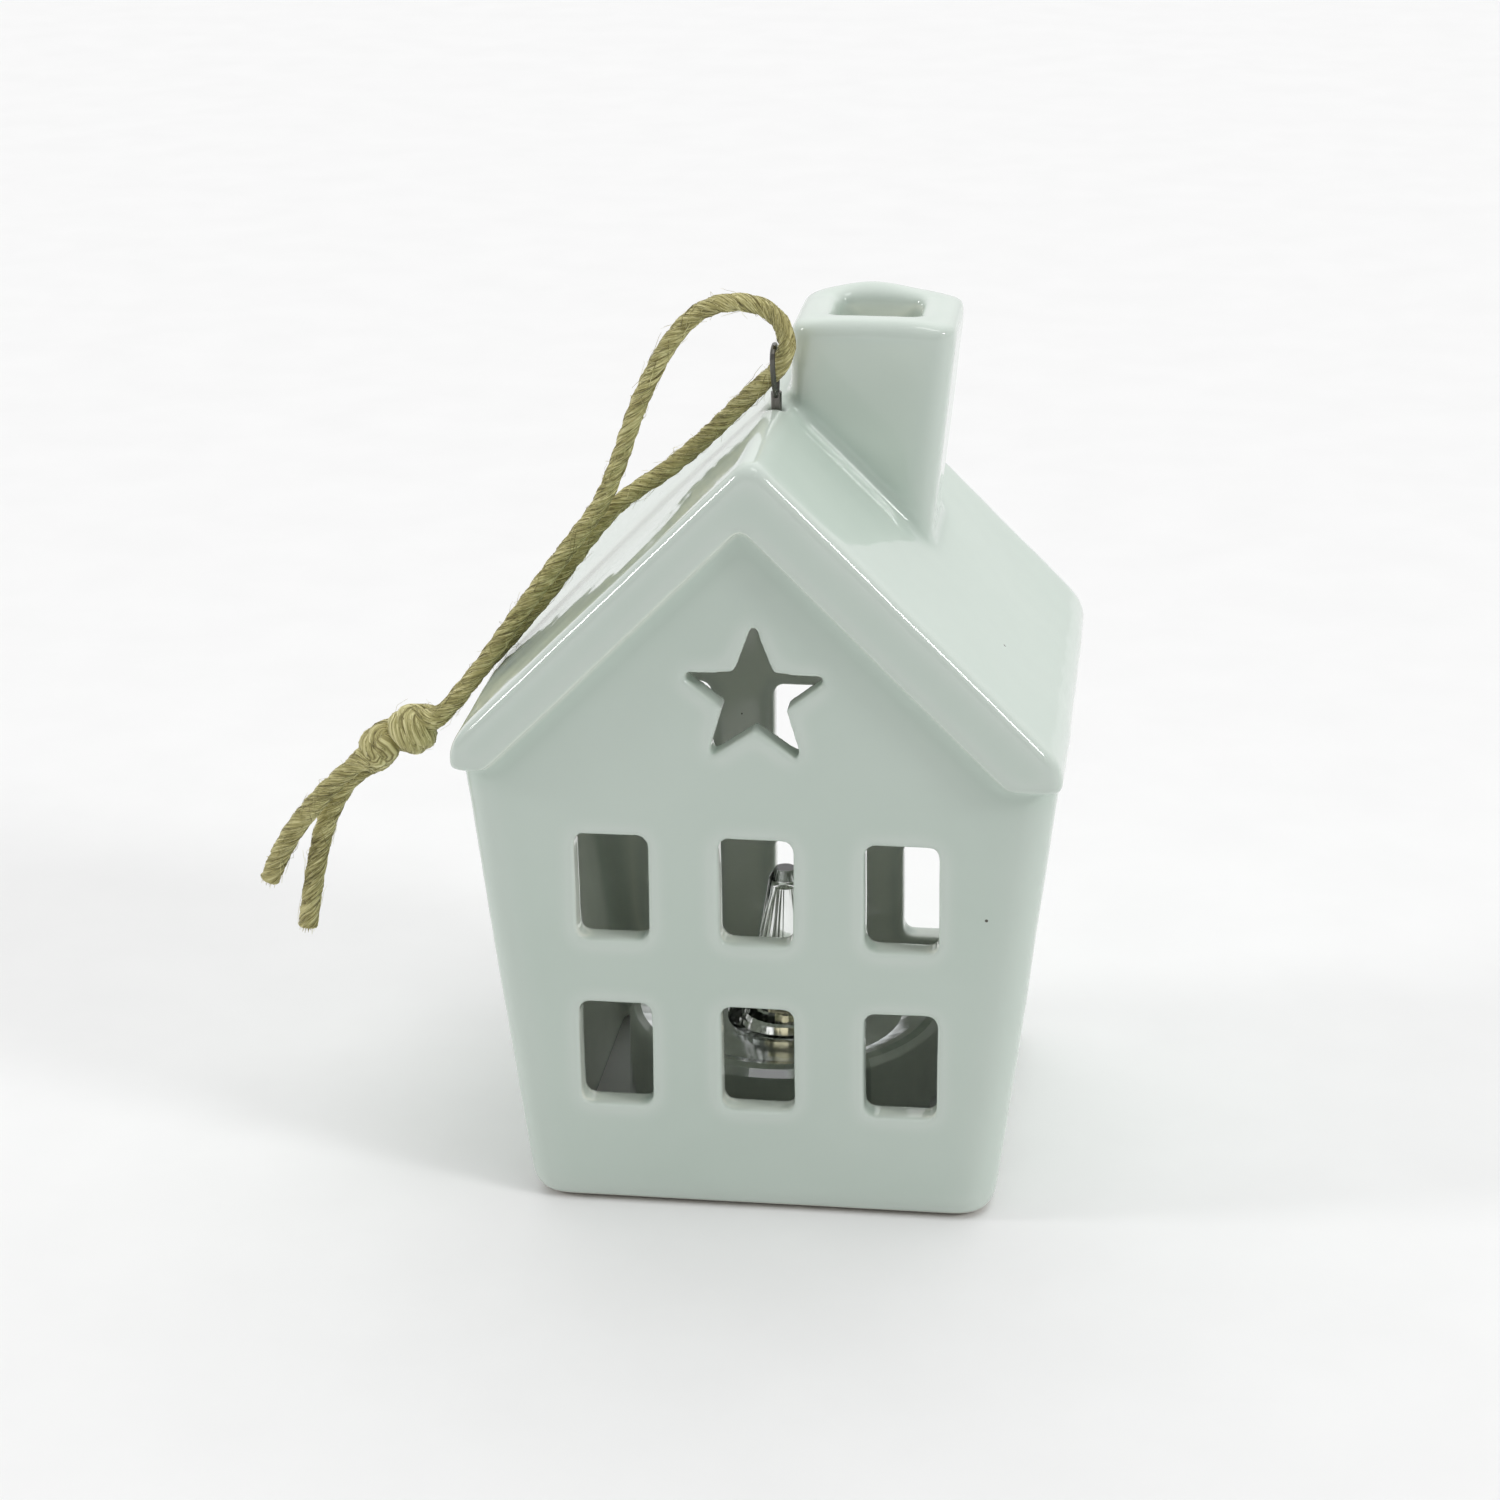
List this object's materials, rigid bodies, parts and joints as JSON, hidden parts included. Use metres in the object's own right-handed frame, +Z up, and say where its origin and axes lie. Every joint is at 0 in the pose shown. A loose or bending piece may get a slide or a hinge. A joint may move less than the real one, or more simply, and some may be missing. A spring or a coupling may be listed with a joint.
{
  "type": "ceramic house tealight holder with hanging loop",
  "caption": "White glazed house with windows, a star cut-out and a chimney, set over a battery tealight, with a jute hanging loop in a wire eye.",
  "frame": {"origin": "middle of the base rim, on the surface the house stands on", "axes": "+Z up, the front gable with the star faces -Y, +X to the right seen from the front"},
  "size_m": [0.094, 0.0568, 0.1019],
  "materials": {
    "glaze": "gloss",
    "wire": "satin",
    "jute": "matte",
    "silver_plastic": "gloss",
    "clear_plastic": "gloss",
    "led_resin": "gloss",
    "steel": "satin",
    "brass": "satin",
    "base_plastic": "matte",
    "black_plastic": "matte"
  },
  "bodies": {
    "tealight": {"tealight_housing": "silver_plastic", "flame_lens": "clear_plastic", "led_lamp": "led_resin", "led_lead_positive": "steel", "led_lead_negative": "steel", "coin_cell": "steel", "contact_spring": "brass", "base_plate": "base_plastic", "switch_contact": "brass"},
    "house": {"ceramic_house": "glaze", "wire_eye": "wire", "twine_upper_strand": "jute", "twine_lower_strand": "jute", "twine_knot": "jute", "twine_tail_long": "jute", "twine_tail_short": "jute"},
    "door": {"battery_door": "base_plastic"},
    "switch": {"switch_knob": "black_plastic"}
  },
  "joints": [
    {"name": "house_lift", "type": "slide", "parent": "tealight", "child": "house", "axis": [0, 0, 1], "range_m": [0, 0.045]},
    {"name": "door_turn", "type": "hinge", "parent": "tealight", "child": "door", "pos_m": [0, 0, 0.001], "axis": [0, 0, 1], "range_deg": [0, 30]},
    {"name": "switch_slide", "type": "slide", "parent": "tealight", "child": "switch", "axis": [1, 0, 0], "range_m": [0, 0.002]}
  ]
}
